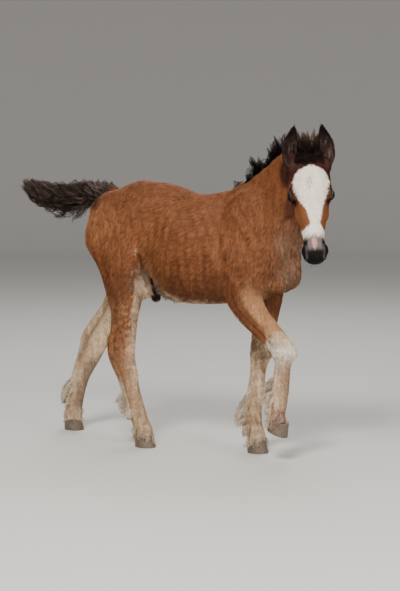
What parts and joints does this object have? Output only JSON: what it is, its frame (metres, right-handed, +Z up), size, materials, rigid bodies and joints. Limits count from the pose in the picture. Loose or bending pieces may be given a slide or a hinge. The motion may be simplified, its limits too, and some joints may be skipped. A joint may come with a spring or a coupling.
{
  "type": "irish cob foal",
  "caption": "Life-size still model of a young cob foal walking with its tail up, head turned aside, one forefoot raised.",
  "frame": {"origin": "middle of the model's box at the level of the hooves' soles", "axes": "+X the way the foal walks, +Y its left side, +Z up"},
  "size_m": [1.4068, 0.365, 1.1757],
  "materials": {
    "bay_coat": "short tousled bay coat, with a white blaze that the model's surface carries",
    "cream_coat": "woolly cream coat and feather of the lower legs",
    "dark_coat": "short dark coat of the ears",
    "black_hair": "curly dark tail hair",
    "horn": "dull dark hoof horn",
    "eye": "polished dark eye"
  },
  "bodies": {
    "root": {"ear_left": "dark_coat", "ear_right": "dark_coat", "eye_left": "eye", "eye_right": "eye", "forehoof_left": "horn", "forehoof_right": "horn", "foreleg_left_lower": "cream_coat", "foreleg_left_upper": "bay_coat", "foreleg_right_lower": "cream_coat", "foreleg_right_upper": "bay_coat", "head": "bay_coat", "hindhoof_left": "horn", "hindhoof_right": "horn", "hindleg_left_lower": "cream_coat", "hindleg_left_upper": "bay_coat", "hindleg_right_lower": "cream_coat", "hindleg_right_upper": "bay_coat", "neck": "bay_coat", "tail": "black_hair", "torso": "bay_coat"}
  },
  "joints": []
}
